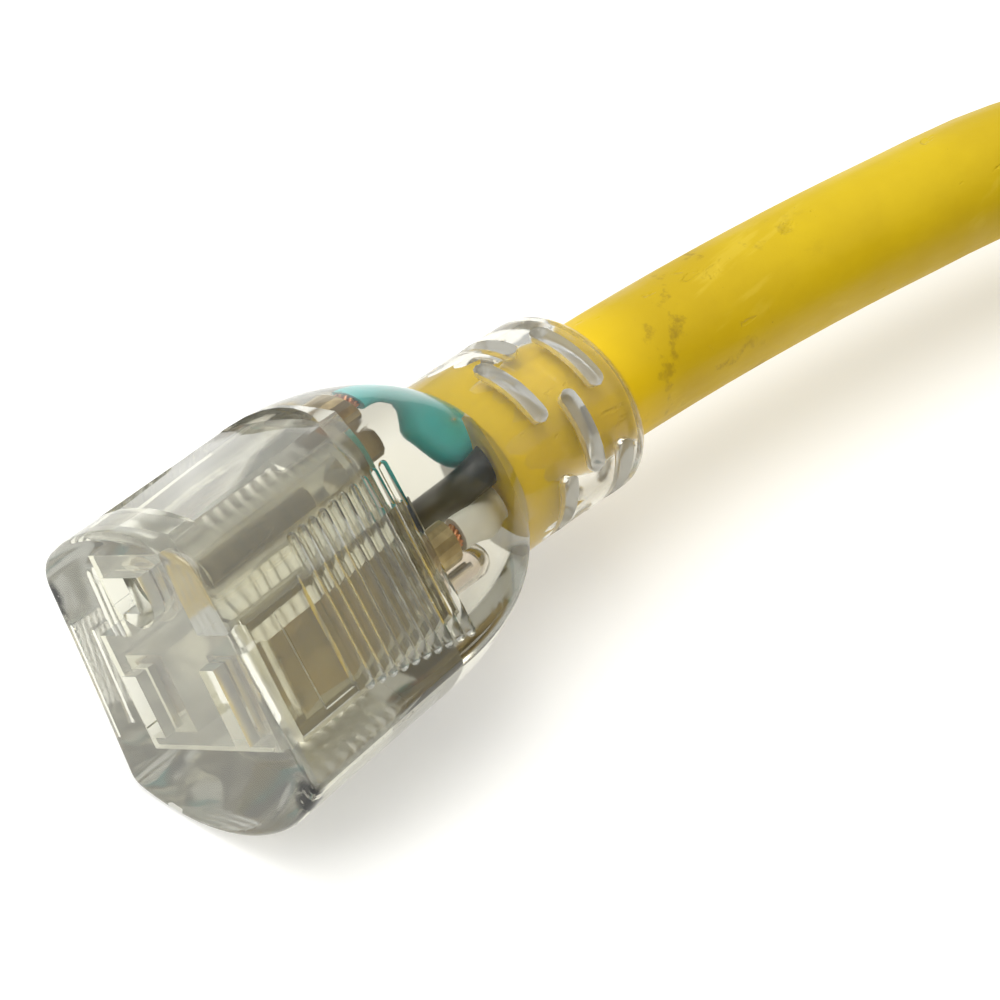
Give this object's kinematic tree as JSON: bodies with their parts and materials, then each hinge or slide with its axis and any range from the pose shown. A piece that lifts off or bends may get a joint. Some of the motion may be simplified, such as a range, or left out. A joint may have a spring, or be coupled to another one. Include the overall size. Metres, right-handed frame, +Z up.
{
  "type": "shore power cord",
  "caption": "Heavy round power cord with a clear moulded grounding connector at one end, a clear moulded plug at the other, wound into a strapped coil.",
  "frame": {"origin": "on the surface that the cord lies on, under the middle of the connector's bounding box", "axes": "-Y is the way the connector's mating face looks, +Y is towards the cord, +X is towards the coil, +Z is up"},
  "size_m": [0.2922, 0.2239, 0.0862],
  "materials": {
    "clear_vinyl": "clear, slightly cloudy, glossy",
    "clear_rigid_plastic": "clear, glossy",
    "yellow_jacket": "satin, scuffed",
    "brass": "stamped sheet",
    "nickel_plated_brass": "plated",
    "copper_strands": "bare strands",
    "black_insulation": "satin",
    "white_insulation": "satin",
    "green_insulation": "satin",
    "lamp_glass": "clear",
    "tinned_wire": "tinned",
    "resistor_coat": "matte",
    "black_strap": "woven hook-and-loop tape"
  },
  "bodies": {
    "root": {"connector_overmold": "clear_vinyl", "contact_carrier": "clear_rigid_plastic", "carrier_cover": "clear_rigid_plastic", "hot_contact": "brass", "neutral_contact": "brass", "ground_contact": "brass", "black_wire": "black_insulation", "white_wire": "white_insulation", "green_wire": "green_insulation", "black_strands": "copper_strands", "white_strands": "copper_strands", "green_strands": "copper_strands", "lamp_bulb": "lamp_glass", "lamp_lead_hot": "tinned_wire", "lamp_lead_middle": "tinned_wire", "lamp_lead_neutral": "tinned_wire", "lamp_resistor": "resistor_coat", "cord_jacket": "yellow_jacket", "cord_coil": "yellow_jacket", "cord_jacket_plug_end": "yellow_jacket", "coil_strap_left": "black_strap", "coil_strap_front": "black_strap", "coil_strap_back": "black_strap", "plug_overmold": "clear_vinyl", "plug_blade_bridge": "clear_rigid_plastic", "plug_hot_blade": "nickel_plated_brass", "plug_neutral_blade": "nickel_plated_brass", "plug_ground_pin": "nickel_plated_brass", "plug_black_wire": "black_insulation", "plug_white_wire": "white_insulation", "plug_green_wire": "green_insulation", "plug_black_strands": "copper_strands", "plug_white_strands": "copper_strands", "plug_green_strands": "copper_strands"}
  },
  "joints": []
}
